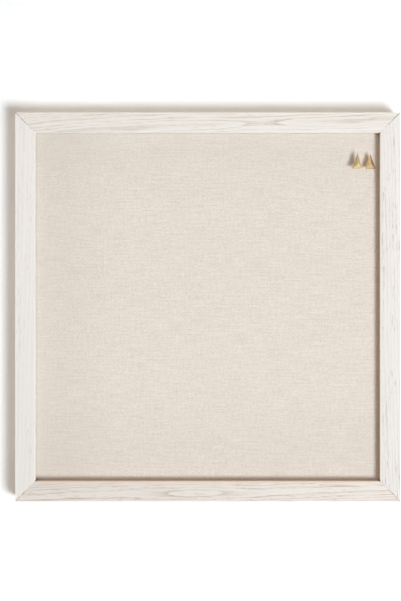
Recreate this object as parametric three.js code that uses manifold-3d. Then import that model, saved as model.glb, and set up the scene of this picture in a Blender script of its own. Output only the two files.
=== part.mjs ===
// Framed linen bulletin board with two push pins, hung on two D-ring hangers.
// Millimetres, +Z up. The front faces -Y, and the wall behind the board is the plane y = 0.
// The origin lies on the wall, behind the middle of the board.

import * as THREE from "three";
import { mergeVertices } from "three/addons/utils/BufferGeometryUtils.js";
import Module from "manifold-3d";

// Frame
const boardWidth = 457;
const boardHeight = 461.5;
const railFace = 24;
const recessDepth = 12.5;
const rebateWidth = 7;
const arrisRadius = 0.4;
const mitreGap = 0.3;

// Covered panel, front to back: linen, cork, hardboard and the linen's turned-over hem
const linenThickness = 0.5;
const corkThickness = 5;
const hardboardThickness = 2.5;
const hemWidth = 28;
const panelClearance = 1;

// Clearances: between layers and seats, and around what is driven into a slot or hole
const seatGap = 0.1;
const slotGap = 0.25;

// Staples along the hem
const staplesPerSide = 4;
const stapleFromCorner = 60;
const stapleInset = 14;
const stapleCrown = 10;
const stapleWire = 0.6;
const stapleBite = 1.8;

// Framer's points in the rebate wall
const pointFromCorner = 110;
const pointThickness = 0.4;
const pointWidth = 7;
const pointBite = 4;
const pointReach = 8;
const pointBackCover = 0.7;

// V-nails across the mitres, seen from behind
const vNailFromCorner = { outer: 5.5, inner: 12.2 };
const vNailWing = 3.6;
const vNailThickness = 0.5;
const vNailHeight = 9;
const vNailSink = 0.3;
const vNailHalfAngle = THREE.MathUtils.degToRad(60);

// Rubber bumpers on the lower corners
const bumperThickness = 4;
const bumperRadius = 5.5;
const bumperEdge = 0.8;
const bumperFromBottom = 32;

// D-ring hangers: the ring hangs from a knuckle at the top of the strap
const hangerFromTop = 80;
const ringWire = 2;
const ringWidth = 14;
const ringDrop = 12;
const ringCorner = 1.5;
const ringSeam = 0.4;
const ringPlay = 0.2;
const strapSheet = 0.4;
const strapWidth = 10;
const strapLength = 26;
const strapCorner = 3.5;
const screwFromEnd = 6.5;
const screwShank = 2.9;
const screwLength = 11;
const screwTip = 3;
const screwHead = 6.2;
const screwHeadHeight = 1.9;
const screwHeadRim = 0.6;
const recessLength = 3.4;
const recessSlot = 0.8;
const recessSink = 1.1;

// Push pins: a flat-backed three-sided pyramid on a boss, and a needle
const pinHeadWidth = 12.8;
const pinHeadHeight = 19.3;
const pinRim = 0.8;
const pinPeak = 5;
const pinStandoff = 7.8;
const leftPinOut = 2.9;
const pinBoss = 2.5;
const pinBossRadius = 2;
const pinSocket = 2.8;
const needleRadius = 0.5;
const needleTaper = 4;
const needleTipGap = 0.4;
const needleFit = 0.1;
const pinEdgeGap = 4.85;
const pinTopGap = 23.6;
const pinGap = 3.3;

// Facets of the round pieces
const roundSides = 24;
const smallSides = 12;

// Depths, from the wall towards the front
const hemBackDepth = bumperThickness + pointBackCover + pointThickness + seatGap;
const hardboardBackDepth = hemBackDepth + linenThickness + seatGap;
const corkBackDepth = hardboardBackDepth + hardboardThickness + seatGap;
const linenInsideDepth = corkBackDepth + corkThickness + seatGap;
const linenFrontDepth = linenInsideDepth + linenThickness;
const lipDepth = linenFrontDepth + seatGap;
const frontDepth = lipDepth + recessDepth;

// Sizes across the board
const sightWidth = boardWidth - 2 * railFace;
const sightHeight = boardHeight - 2 * railFace;
const panelWidth = sightWidth + 2 * (rebateWidth - panelClearance);
const panelHeight = sightHeight + 2 * (rebateWidth - panelClearance);
const coreWidth = panelWidth - 2 * (linenThickness + seatGap);
const coreHeight = panelHeight - 2 * (linenThickness + seatGap);
const backLand = railFace - rebateWidth;

// Places of the hangers and pins
const hangerX = boardWidth / 2 - backLand / 2;
const hangerZ = boardHeight / 2 - hangerFromTop;
const screwDrop = strapLength - screwFromEnd;
const screwZ = hangerZ - screwDrop;
const strapThickness = 2 * strapSheet;
const pivotOffset = seatGap + strapThickness + slotGap + ringWire / 2;
const rightPinX = sightWidth / 2 - pinEdgeGap - pinHeadWidth / 2;
const leftPinX = rightPinX - pinHeadWidth - pinGap;
const pinZ = sightHeight / 2 - pinTopGap - (2 / 3) * pinHeadHeight;

const finishes = {
  oak: { color: 0xebe5dd, roughness: 0.62, metalness: 0 },
  linen: { color: 0xe4dacf, roughness: 0.95, metalness: 0 },
  cork: { color: 0xb98a5c, roughness: 0.95, metalness: 0 },
  hardboard: { color: 0x7b5639, roughness: 0.7, metalness: 0 },
  steel: { color: 0xb9bab8, roughness: 0.35, metalness: 1 },
  brass: { color: 0xd9b36a, roughness: 0.28, metalness: 1 },
  rubber: { color: 0x3b3b3a, roughness: 0.85, metalness: 0 },
};

const wasm = await Module();
wasm.setup();

const unitX = new THREE.Vector3(1, 0, 0);
const unitY = new THREE.Vector3(0, 1, 0);
const unitZ = new THREE.Vector3(0, 0, 1);

// An outline drawn in (x, z), as seen from the front, made solid between two depths
function slab(outline, nearDepth, farDepth, curveSegments = smallSides) {
  const options = { depth: farDepth - nearDepth, bevelEnabled: false, curveSegments };
  const standing = new THREE.Matrix4().makeBasis(unitX, unitZ, unitY.clone().negate());
  return new THREE.ExtrudeGeometry(outline, options).applyMatrix4(standing).translate(0, -nearDepth, 0);
}

// A section drawn in (y, z), made solid over a length along X and centred on it
function bar(section, length, curveSegments = smallSides) {
  const options = { depth: length, bevelEnabled: false, curveSegments };
  const lying = new THREE.Matrix4().makeBasis(unitY, unitZ, unitX);
  return new THREE.ExtrudeGeometry(section, options).applyMatrix4(lying).translate(-length / 2, 0, 0);
}

// A box between two depths, centred on a point of the board's face
function block(width, height, nearDepth, farDepth, x = 0, z = 0) {
  const thickness = farDepth - nearDepth;
  return new THREE.BoxGeometry(width, thickness, height).translate(x, -nearDepth - thickness / 2, z);
}

// A round hole or peg between two depths
function peg(radius, nearDepth, farDepth, x, z) {
  const length = farDepth - nearDepth;
  const round = new THREE.CylinderGeometry(radius, radius, length, smallSides);
  return round.translate(x, -nearDepth - length / 2, z);
}

function outlineOf(points) {
  return new THREE.Shape(points.map(([u, v]) => new THREE.Vector2(u, v)));
}

function turned(profile, sides) {
  return new THREE.LatheGeometry(profile.map(([r, y]) => new THREE.Vector2(r, y)), sides);
}

function toSolid(geometry) {
  const bare = geometry.clone();
  bare.deleteAttribute("normal");
  bare.deleteAttribute("uv");
  const merged = mergeVertices(bare);
  const vertProperties = merged.attributes.position.array;
  const triVerts = new Uint32Array(merged.index.array);
  return new wasm.Manifold(new wasm.Mesh({ numProp: 3, vertProperties, triVerts }));
}

function toGeometry(solid) {
  const mesh = solid.getMesh();
  const geometry = new THREE.BufferGeometry();
  geometry.setAttribute("position", new THREE.BufferAttribute(mesh.vertProperties, 3));
  geometry.setIndex(new THREE.BufferAttribute(mesh.triVerts, 1));
  geometry.computeVertexNormals();
  return geometry;
}

function joined(...geometries) {
  return toGeometry(geometries.map(toSolid).reduce((whole, piece) => whole.add(piece)));
}

function carved(geometry, cutters) {
  return toGeometry(cutters.map(toSolid).reduce((left, cutter) => left.subtract(cutter), toSolid(geometry)));
}

function common(first, second) {
  return toGeometry(toSolid(first).intersect(toSolid(second)));
}

function piece(name, geometry, finish) {
  const mesh = new THREE.Mesh(geometry, new THREE.MeshStandardMaterial(finishes[finish]));
  mesh.name = name;
  return mesh;
}

// The V of a mitre nail with its bend at the origin and its wings reaching down to both sides
function chevron(grow) {
  const half = vNailThickness / 2 + grow;
  const reach = vNailWing + grow;
  const along = new THREE.Vector2(Math.sin(vNailHalfAngle), -Math.cos(vNailHalfAngle));
  const across = new THREE.Vector2(-along.y, along.x).multiplyScalar(half);
  const tip = along.clone().multiplyScalar(reach);
  const bend = half / Math.sin(vNailHalfAngle);
  return outlineOf([
    [0, bend],
    [-tip.x - across.x, tip.y + across.y],
    [-tip.x + across.x, tip.y - across.y],
    [0, -bend],
    [tip.x - across.x, tip.y - across.y],
    [tip.x + across.x, tip.y + across.y],
  ]);
}

function vNailPlace(length, span, fromCorner, end) {
  return {
    x: end * (length / 2 - fromCorner),
    z: span / 2 - fromCorner,
    turn: (end * Math.PI) / 4,
  };
}

function vNailSlots(length, span) {
  const deep = bumperThickness + vNailSink + vNailHeight + slotGap;
  return [-1, 1].flatMap((end) =>
    Object.values(vNailFromCorner).map((fromCorner) => {
      const place = vNailPlace(length, span, fromCorner, end);
      const slot = slab(chevron(slotGap), bumperThickness - slotGap, deep);
      return slot.rotateY(place.turn).translate(place.x, 0, place.z);
    }),
  );
}

// A framer's point is a tab with its sharp end in the rebate wall
function pointOutline(wall) {
  const half = pointWidth / 2;
  return outlineOf([
    [-half, wall - pointReach],
    [half, wall - pointReach],
    [half, wall + pointBite - half],
    [0, wall + pointBite],
    [-half, wall + pointBite - half],
  ]);
}

function pointStations(length) {
  return [-1, 1].map((side) => side * (length / 2 - pointFromCorner));
}

const pointBackDepth = bumperThickness + pointBackCover;
const pointFrontDepth = pointBackDepth + pointThickness;

function pointSlots(length, wall) {
  const depth = pointBite + 2 * slotGap;
  return pointStations(length).map((x) =>
    block(
      pointWidth + 2 * slotGap,
      depth,
      pointBackDepth - slotGap,
      pointFrontDepth + slotGap,
      x,
      wall + pointBite + slotGap - depth / 2,
    ),
  );
}

// One length of the moulding, lying along X with its outer edge up, mitred at both ends
function railGeometry(length, span, pilotHoles) {
  const outer = span / 2;
  const inner = outer - railFace;
  const wall = inner + rebateWidth;
  const section = new THREE.Shape();
  section.moveTo(-bumperThickness, outer);
  section.lineTo(-frontDepth + arrisRadius, outer);
  section.absarc(-frontDepth + arrisRadius, outer - arrisRadius, arrisRadius, Math.PI / 2, Math.PI);
  section.lineTo(-frontDepth, inner + arrisRadius);
  section.absarc(-frontDepth + arrisRadius, inner + arrisRadius, arrisRadius, Math.PI, 1.5 * Math.PI);
  section.lineTo(-lipDepth, inner);
  section.lineTo(-lipDepth, wall);
  section.lineTo(-bumperThickness, wall);
  section.closePath();
  const margin = arrisRadius;
  const setback = mitreGap * Math.SQRT1_2;
  const topHalf = length / 2 - setback + margin;
  const lowHalf = length / 2 - setback - railFace - margin;
  const mitred = outlineOf([
    [-lowHalf, inner - margin],
    [lowHalf, inner - margin],
    [topHalf, outer + margin],
    [-topHalf, outer + margin],
  ]);
  const stick = bar(section, length, 4);
  const mitredStick = common(stick, slab(mitred, bumperThickness - margin, frontDepth + margin));
  const holeDepth = bumperThickness + screwLength + slotGap;
  const holes = pilotHoles.map((x) =>
    peg(screwShank / 2 + slotGap, bumperThickness - margin, holeDepth, x, outer - backLand / 2),
  );
  return carved(mitredStick, [...vNailSlots(length, span), ...pointSlots(length, wall), ...holes]);
}

// A rail or stile with its framer's points and the two V-nails of the corner at its right-hand end
function railGroup({ name, side, corner, length, span, quarterTurns, pilotHoles }) {
  const group = new THREE.Group();
  group.rotation.y = (quarterTurns * Math.PI) / 2;
  group.add(piece(name, railGeometry(length, span, pilotHoles), "oak"));
  const wall = span / 2 - backLand;
  pointStations(length).forEach((x, i) => {
    const tab = piece(
      `framers_point_${side}_${i + 1}`,
      slab(pointOutline(wall), pointBackDepth, pointFrontDepth),
      "steel",
    );
    tab.position.x = x;
    group.add(tab);
  });
  const nailBack = bumperThickness + vNailSink;
  for (const [row, fromCorner] of Object.entries(vNailFromCorner)) {
    const place = vNailPlace(length, span, fromCorner, 1);
    const nail = piece(
      `v_nail_${corner}_${row}`,
      slab(chevron(0), nailBack, nailBack + vNailHeight),
      "steel",
    );
    nail.position.set(place.x, 0, place.z);
    nail.rotation.y = place.turn;
    group.add(nail);
  }
  return group;
}

// Each staple's middle on the hem and whether it lies along X or Z
function staplePlaces() {
  const places = [];
  const sides = [
    { side: "top", length: panelWidth, across: panelHeight, quarterTurns: 0 },
    { side: "right", length: panelHeight, across: panelWidth, quarterTurns: 1 },
    { side: "bottom", length: panelWidth, across: panelHeight, quarterTurns: 2 },
    { side: "left", length: panelHeight, across: panelWidth, quarterTurns: 3 },
  ];
  for (const { side, length, across, quarterTurns } of sides) {
    const first = -length / 2 + stapleFromCorner;
    const pitch = (length - 2 * stapleFromCorner) / (staplesPerSide - 1);
    for (let i = 0; i < staplesPerSide; i += 1) {
      const x = first + i * pitch;
      const z = across / 2 - stapleInset;
      const turn = (quarterTurns * Math.PI) / 2;
      const middle = new THREE.Vector3(x, 0, z).applyAxisAngle(unitY, turn);
      places.push({ name: `hem_staple_${side}_${i + 1}`, middle, upright: quarterTurns % 2 === 1 });
    }
  }
  return places;
}

const stapleBack = hemBackDepth - seatGap - stapleWire;
const stapleTip = hardboardBackDepth + stapleBite;

function stapleGeometry() {
  const crown = stapleCrown / 2;
  const leg = crown - stapleWire;
  const profile = outlineOf([
    [-crown, -stapleTip],
    [-leg, -stapleTip],
    [-leg, -stapleBack - stapleWire],
    [leg, -stapleBack - stapleWire],
    [leg, -stapleTip],
    [crown, -stapleTip],
    [crown, -stapleBack],
    [-crown, -stapleBack],
  ]);
  const options = { depth: stapleWire, bevelEnabled: false };
  return new THREE.ExtrudeGeometry(profile, options).translate(0, 0, -stapleWire / 2);
}

function stapleHoles(places) {
  const hole = stapleWire + 2 * slotGap;
  const legMiddle = stapleCrown / 2 - stapleWire / 2;
  return places.flatMap(({ middle, upright }) =>
    [-legMiddle, legMiddle].map((offset) =>
      block(
        hole,
        hole,
        hemBackDepth - slotGap,
        stapleTip + slotGap,
        middle.x + (upright ? 0 : offset),
        middle.z + (upright ? offset : 0),
      ),
    ),
  );
}

function pinHoles() {
  const radius = needleRadius + needleFit;
  return [leftPinX, rightPinX].map((x) =>
    peg(radius, corkBackDepth - seatGap / 2, linenFrontDepth + seatGap, x, pinZ),
  );
}

function panelGroup() {
  const group = new THREE.Group();
  const places = staplePlaces();
  const hemHoles = stapleHoles(places);
  const wrapped = block(panelWidth, panelHeight, hemBackDepth, linenFrontDepth);
  const inside = block(
    coreWidth + 2 * seatGap,
    coreHeight + 2 * seatGap,
    hardboardBackDepth - seatGap,
    linenInsideDepth,
  );
  const window = block(
    panelWidth - 2 * hemWidth,
    panelHeight - 2 * hemWidth,
    hemBackDepth - linenThickness,
    hardboardBackDepth,
  );
  group.add(piece("linen_cover", carved(wrapped, [inside, window, ...hemHoles, ...pinHoles()]), "linen"));
  const cork = block(coreWidth, coreHeight, corkBackDepth, corkBackDepth + corkThickness);
  group.add(piece("cork_sheet", carved(cork, pinHoles()), "cork"));
  const hardboardFront = hardboardBackDepth + hardboardThickness;
  const hardboard = block(coreWidth, coreHeight, hardboardBackDepth, hardboardFront);
  group.add(piece("hardboard_back", carved(hardboard, hemHoles), "hardboard"));
  for (const { name, middle, upright } of places) {
    const staple = piece(name, stapleGeometry(), "steel");
    staple.position.copy(middle);
    staple.rotation.y = upright ? Math.PI / 2 : 0;
    group.add(staple);
  }
  return group;
}

// The folded strap: a plate with round lower corners and a knuckle round the ring's straight side
function strapGeometry() {
  const half = strapWidth / 2;
  const plate = new THREE.Shape();
  plate.moveTo(-half, 0);
  plate.lineTo(-half, -strapLength + strapCorner);
  plate.absarc(-half + strapCorner, -strapLength + strapCorner, strapCorner, Math.PI, 1.5 * Math.PI);
  plate.lineTo(half - strapCorner, -strapLength);
  plate.absarc(half - strapCorner, -strapLength + strapCorner, strapCorner, 1.5 * Math.PI, 2 * Math.PI);
  plate.lineTo(half, 0);
  plate.closePath();
  const bore = ringWire / 2 + ringPlay;
  const knuckle = new THREE.Shape().absarc(pivotOffset, 0, bore + strapSheet, 0, 2 * Math.PI);
  knuckle.holes.push(new THREE.Path().absarc(pivotOffset, 0, bore, 0, 2 * Math.PI));
  const flat = slab(plate, -seatGap - strapThickness, -seatGap, smallSides / 2);
  const hole = peg(screwShank / 2 + slotGap, -2 * strapThickness, 0, 0, -screwDrop);
  return carved(joined(flat, bar(knuckle, strapWidth)), [hole]);
}

// The ring's wire starts and ends at a seam inside the knuckle
function ringGeometry() {
  const half = ringWidth / 2;
  const route = new THREE.Path();
  route.moveTo(ringSeam / 2, 0);
  route.lineTo(half - ringCorner, 0);
  route.absarc(half - ringCorner, -ringCorner, ringCorner, Math.PI / 2, 0, true);
  route.lineTo(half, -ringDrop + half);
  route.absarc(0, -ringDrop + half, half, 0, -Math.PI, true);
  route.lineTo(-half, -ringCorner);
  route.absarc(-half + ringCorner, -ringCorner, ringCorner, Math.PI, Math.PI / 2, true);
  route.lineTo(-ringSeam / 2, 0);
  const steps = 3 * roundSides;
  const points = route.getSpacedPoints(steps).map(({ x, y }) => new THREE.Vector3(x, 0, y));
  const wire = new THREE.Shape().absarc(0, 0, ringWire / 2, 0, 2 * Math.PI);
  const extrudePath = new THREE.CatmullRomCurve3(points);
  return new THREE.ExtrudeGeometry(wire, { steps, extrudePath, curveSegments: 5 });
}

function screwGeometry() {
  const shank = screwShank / 2;
  const head = screwHead / 2;
  const domeRise = screwHeadHeight - screwHeadRim;
  const dome = [1, 2, 3].map((i) => {
    const angle = (i * Math.PI) / 8;
    return [head * Math.cos(angle), screwHeadRim + domeRise * Math.sin(angle)];
  });
  const profile = [
    [0, -screwLength],
    [shank, -screwLength + screwTip],
    [shank, 0],
    [head, 0],
    [head, screwHeadRim],
    ...dome,
    [0, screwHeadHeight],
  ];
  const slotDepths = [-2 * screwHeadHeight, recessSink - screwHeadHeight];
  const cross = [
    block(recessLength, recessSlot, ...slotDepths),
    block(recessSlot, recessLength, ...slotDepths),
  ];
  return carved(turned(profile, smallSides), cross);
}

function hangerGroup(side, x) {
  const group = new THREE.Group();
  group.position.set(x, -bumperThickness, hangerZ);
  group.add(piece(`hanger_strap_${side}`, strapGeometry(), "steel"));
  const ring = piece(`hanger_ring_${side}`, ringGeometry(), "steel");
  ring.position.y = pivotOffset;
  group.add(ring);
  const screw = piece(`hanger_screw_${side}`, screwGeometry(), "steel");
  screw.position.set(0, 2 * seatGap + strapThickness, -screwDrop);
  group.add(screw);
  return group;
}

function bumperMesh(side, x) {
  const thickness = bumperThickness - seatGap;
  const profile = [
    [0, 0],
    [bumperRadius, 0],
    [bumperRadius, thickness - bumperEdge],
    [bumperRadius - bumperEdge, thickness],
    [0, thickness],
  ];
  const bumper = piece(`bumper_${side}`, turned(profile, roundSides), "rubber");
  bumper.position.set(x, -thickness, -boardHeight / 2 + bumperFromBottom);
  return bumper;
}

// A pin's head, with its flat back in the plane y = 0 and its peak towards the front
function pinHeadGeometry() {
  const sideScale = pinHeadWidth / Math.sqrt(3);
  const riseScale = pinHeadHeight / 1.5;
  const rim = new THREE.CylinderGeometry(1, 1, pinRim, 3).translate(0, -pinRim / 2, 0);
  const peak = new THREE.ConeGeometry(1, pinPeak, 3).rotateZ(Math.PI).translate(0, -pinRim - pinPeak / 2, 0);
  const facets = [rim, peak].map((shape) => shape.scale(sideScale, 1, riseScale));
  const boss = peg(pinBossRadius, -pinBoss, 0, 0, 0);
  const socket = peg(needleRadius + needleFit, -2 * pinBoss, pinSocket - pinBoss, 0, 0);
  return carved(joined(...facets, boss), [socket]);
}

function needleGeometry() {
  const root = pinBoss - pinSocket + needleFit;
  const tip = pinStandoff + linenFrontDepth - corkBackDepth - needleTipGap;
  const profile = [
    [0, root],
    [needleRadius, root],
    [needleRadius, tip - needleTaper],
    [0, tip],
  ];
  return turned(profile, smallSides);
}

// A pin pushed home, or left standing further out by the given length
function pinGroup(side, x, out) {
  const group = new THREE.Group();
  group.position.set(x, -linenFrontDepth - pinStandoff - out, pinZ);
  group.add(piece(`pin_head_${side}`, pinHeadGeometry(), "brass"));
  group.add(piece(`pin_needle_${side}`, needleGeometry(), "steel"));
  return group;
}

const frameSides = [
  { name: "frame_top_rail", side: "top", corner: "top_right", pilotHoles: [] },
  { name: "frame_right_stile", side: "right", corner: "bottom_right", pilotHoles: [-screwZ] },
  { name: "frame_bottom_rail", side: "bottom", corner: "bottom_left", pilotHoles: [] },
  { name: "frame_left_stile", side: "left", corner: "top_left", pilotHoles: [screwZ] },
];

const board = new THREE.Group();
frameSides.forEach((rail, quarterTurns) => {
  const lying = quarterTurns % 2 === 0;
  const length = lying ? boardWidth : boardHeight;
  const span = lying ? boardHeight : boardWidth;
  board.add(railGroup({ ...rail, length, span, quarterTurns }));
});
board.add(panelGroup());
for (const [side, sign] of [["left", -1], ["right", 1]]) {
  board.add(hangerGroup(side, sign * hangerX));
  board.add(bumperMesh(side, sign * hangerX));
}
board.add(pinGroup("left", leftPinX, leftPinOut));
board.add(pinGroup("right", rightPinX, 0));

export default board;
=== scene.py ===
"""Linen bulletin board: the looks of an oak frame, a linen panel, two push pins and the hangers.

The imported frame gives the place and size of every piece. All lengths are in metres, in the frame's
own axes: the board stands in XZ, its front faces -Y and its bumpers end at the plane y = 0.
"""

import logging
import math
import random
from dataclasses import dataclass, field
from enum import Enum
from typing import Sequence, Union

import bmesh
import bpy
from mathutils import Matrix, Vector, noise


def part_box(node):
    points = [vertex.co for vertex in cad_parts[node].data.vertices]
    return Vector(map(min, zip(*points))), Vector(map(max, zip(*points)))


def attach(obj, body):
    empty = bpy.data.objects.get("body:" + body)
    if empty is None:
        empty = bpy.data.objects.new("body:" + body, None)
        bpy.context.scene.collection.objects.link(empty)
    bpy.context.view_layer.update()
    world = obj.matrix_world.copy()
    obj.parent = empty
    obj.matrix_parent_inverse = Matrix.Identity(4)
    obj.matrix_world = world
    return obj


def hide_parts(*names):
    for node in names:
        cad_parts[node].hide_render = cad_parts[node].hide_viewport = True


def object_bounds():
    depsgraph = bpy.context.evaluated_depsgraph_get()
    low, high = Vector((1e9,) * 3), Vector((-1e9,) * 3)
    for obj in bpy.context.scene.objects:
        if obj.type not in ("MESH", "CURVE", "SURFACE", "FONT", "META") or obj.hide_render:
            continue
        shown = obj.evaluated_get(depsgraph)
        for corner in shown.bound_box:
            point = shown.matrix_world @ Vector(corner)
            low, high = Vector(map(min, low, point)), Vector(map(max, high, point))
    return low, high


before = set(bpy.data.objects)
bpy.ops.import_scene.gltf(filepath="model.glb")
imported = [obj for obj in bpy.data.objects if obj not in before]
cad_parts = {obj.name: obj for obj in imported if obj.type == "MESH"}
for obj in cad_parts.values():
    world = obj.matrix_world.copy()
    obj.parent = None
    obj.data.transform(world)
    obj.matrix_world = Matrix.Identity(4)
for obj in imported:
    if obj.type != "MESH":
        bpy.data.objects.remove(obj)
CAD_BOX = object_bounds()

MM = 0.001
LOG = logging.getLogger("bulletin_board")

Colour = tuple[float, float, float]
Spot = tuple[float, float]
Operand = Union["Shade", float, Sequence[float]]

WHITE: Colour = (1.0, 1.0, 1.0)
BLACK: Colour = (0.0, 0.0, 0.0)
RIGHT, BACK, UP = Vector((1, 0, 0)), Vector((0, 1, 0)), Vector((0, 0, 1))


def srgb(red: int, green: int, blue: int) -> Colour:
    """Turn a colour as a screen shows it into the linear colour that a shader takes.

    Args:
        red: Red, from 0 to 255.
        green: Green, from 0 to 255.
        blue: Blue, from 0 to 255.

    Returns:
        The same colour in linear light.
    """
    shares = (red / 255, green / 255, blue / 255)
    return tuple(s / 12.92 if s <= 0.04045 else ((s + 0.055) / 1.055) ** 2.4 for s in shares)


def smooth(share: float) -> float:
    """Ease a share between 0 and 1, and hold it at those ends."""
    held = min(max(share, 0.0), 1.0)
    return held * held * (3 - 2 * held)


class Side(Enum):
    """A side of the board, with its outward direction along X and Z."""

    TOP = ("top", 0, 1)
    RIGHT = ("right", 1, 0)
    BOTTOM = ("bottom", 0, -1)
    LEFT = ("left", -1, 0)

    @property
    def word(self) -> str:
        """The side's name in the names of nodes and pieces."""
        return self.value[0]

    @property
    def lies_flat(self) -> bool:
        """Whether the side runs along X."""
        return self.value[1] == 0

    def place(self, along: float, depth: float, out: float) -> Vector:
        """Give the point that lies so far along the side and so far out from the board's middle."""
        _, across, up = self.value
        return Vector((across * out + abs(up) * along, depth, up * out + abs(across) * along))

    @property
    def run(self) -> Vector:
        """The direction along the side."""
        return RIGHT if self.lies_flat else UP

    def split(self, vector: Vector) -> Spot:
        """Give a vector's parts along the side and across it."""
        return (vector.x, vector.z) if self.lies_flat else (vector.z, vector.x)


@dataclass(frozen=True)
class Box:
    """The box that a CAD node fills at rest."""

    low: Vector
    high: Vector

    @classmethod
    def of(cls, node: str) -> "Box":
        """Read a node's box from the frame."""
        return cls(*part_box(node))

    @property
    def size(self) -> Vector:
        """The lengths of the box along X, Y and Z."""
        return self.high - self.low

    @property
    def middle(self) -> Vector:
        """The middle of the box."""
        return (self.high + self.low) / 2


class Shade:
    """A shader socket that takes part in Python expressions."""

    def __init__(self, shader: "Shader", socket: bpy.types.NodeSocket) -> None:
        """Keep the socket and the shader whose nodes it belongs to."""
        self.shader = shader
        self.socket = socket

    def work(self, operation: str, first: Operand, second: Operand = 0.0) -> "Shade":
        """Add the node that works out one operation.

        Args:
            operation: The operation's name on a Math or Vector Math node.
            first: The first operand.
            second: The second operand, where the operation has one.

        Returns:
            The result's socket.
        """
        if self.socket.type == "VALUE":
            return self.shader.node("ShaderNodeMath", {"operation": operation}, {0: first, 1: second})
        pair = [(part,) * 3 if isinstance(part, (int, float)) else part for part in (first, second)]
        return self.shader.node("ShaderNodeVectorMath", {"operation": operation}, dict(enumerate(pair)))

    def __add__(self, other: Operand) -> "Shade":
        """Add a value."""
        return self.work("ADD", self, other)

    def __radd__(self, other: Operand) -> "Shade":
        """Add to a plain number."""
        return self.work("ADD", other, self)

    def __sub__(self, other: Operand) -> "Shade":
        """Take a value away."""
        return self.work("SUBTRACT", self, other)

    def __rsub__(self, other: Operand) -> "Shade":
        """Take from a plain number."""
        return self.work("SUBTRACT", other, self)

    def __mul__(self, other: Operand) -> "Shade":
        """Multiply by a value."""
        return self.work("MULTIPLY", self, other)

    def __rmul__(self, other: Operand) -> "Shade":
        """Multiply a plain number."""
        return self.work("MULTIPLY", other, self)

    def __truediv__(self, other: Operand) -> "Shade":
        """Divide by a value."""
        return self.work("DIVIDE", self, other)

    def __rtruediv__(self, other: Operand) -> "Shade":
        """Divide a plain number."""
        return self.work("DIVIDE", other, self)

    def __pow__(self, other: Operand) -> "Shade":
        """Raise to a power."""
        return self.work("POWER", self, other)

    def __rpow__(self, other: Operand) -> "Shade":
        """Raise a plain number to this power."""
        return self.work("POWER", other, self)

    def fraction(self) -> "Shade":
        """Keep what lies after the decimal point."""
        return self.work("FRACT", self)

    def sine(self) -> "Shade":
        """Take the sine, in radians."""
        return self.work("SINE", self)

    def root(self) -> "Shade":
        """Take the square root."""
        return self.work("SQRT", self)

    def size(self) -> "Shade":
        """Drop the sign."""
        return self.work("ABSOLUTE", self)

    def most(self, other: Operand) -> "Shade":
        """Keep the larger of two values."""
        return self.work("MAXIMUM", self, other)

    def between(self, low: float, high: float) -> "Shade":
        """Rise smoothly from 0 at the first value to 1 at the second.

        Args:
            low: The value that gives 0.
            high: The value that gives 1.

        Returns:
            The eased share.
        """
        settings = {"interpolation_type": "SMOOTHSTEP"}
        return self.shader.node("ShaderNodeMapRange", settings, {0: self, 1: low, 2: high})


class Shader:
    """A node tree, and the few steps that the finishes share."""

    def __init__(self, tree: bpy.types.NodeTree) -> None:
        """Start with an empty tree."""
        self.tree = tree
        self.tree.nodes.clear()

    @classmethod
    def on(cls, owner: bpy.types.Material | bpy.types.World) -> "Shader":
        """Open the node tree of a material or a world."""
        owner.use_nodes = True
        return cls(owner.node_tree)

    def node(
        self,
        kind: str,
        settings: dict[str, object] | None = None,
        sockets: dict[str | int, Operand] | None = None,
        output: str | int = 0,
    ) -> Shade:
        """Add a node.

        Args:
            kind: The node's type.
            settings: What is set on the node itself, first of all.
            sockets: Values or links for its sockets, by name or number.
            output: The socket that is wanted from it.

        Returns:
            That output socket.
        """
        made = self.tree.nodes.new(kind)
        for name, value in (settings or {}).items():
            setattr(made, name, value)
        for name, value in (sockets or {}).items():
            target = made.inputs[name]
            if isinstance(value, Shade):
                self.tree.links.new(value.socket, target)
            elif target.type == "RGBA":
                target.default_value = (*value, 1.0)
            else:
                target.default_value = value
        return Shade(self, made.outputs[output] if made.outputs else None)

    def place(self) -> tuple[Shade, Shade, Shade]:
        """Give the surface point's X, Y and Z at rest, in millimetres."""
        point = self.node("ShaderNodeTexCoord", output="Object") * (1 / MM)
        return tuple(self.node("ShaderNodeSeparateXYZ", sockets={0: point}, output=i) for i in range(3))

    def facing(self, axis: int) -> Shade:
        """Give how far the true surface faces along X, Y or Z, from -1 to 1."""
        normal = self.node("ShaderNodeNewGeometry", output="True Normal")
        return self.node("ShaderNodeSeparateXYZ", sockets={0: normal}, output=axis)

    def noise(self, x: Operand, y: Operand, z: Operand, detail: float = 2.0) -> Shade:
        """Add soft noise.

        Args:
            x: First coordinate, where 1 is about one lump.
            y: Second coordinate.
            z: Third coordinate.
            detail: How many finer layers it has.

        Returns:
            The noise, about a mean of 0.5.
        """
        point = self.node("ShaderNodeCombineXYZ", sockets={0: x, 1: y, 2: z})
        return self.node("ShaderNodeTexNoise", sockets={"Vector": point, "Scale": 1.0, "Detail": detail})

    def mix(self, start: Operand, end: Operand, share: Operand) -> Shade:
        """Blend two colours."""
        return self.node("ShaderNodeMix", {"data_type": "RGBA"}, {0: share, 6: start, 7: end}, output=2)

    def relief(self, height: Shade, depth: float) -> Shade:
        """Turn a height between 0 and 1 into a bumped normal of that depth in metres."""
        sockets = {"Distance": depth, "Height": height}
        return self.node("ShaderNodeBump", sockets=sockets, output="Normal")

    def surface(self, **sockets: Operand) -> None:
        """Close the tree with a Principled surface.

        Args:
            sockets: Its sockets by name, with an underscore for each space.
        """
        named = {name.replace("_", " "): value for name, value in sockets.items()}
        self.close(self.node("ShaderNodeBsdfPrincipled", sockets=named))

    def close(self, shade: Shade, kind: str = "ShaderNodeOutputMaterial") -> None:
        """Link a finished shade to the tree's output."""
        self.node(kind, sockets={"Surface": shade})


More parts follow.
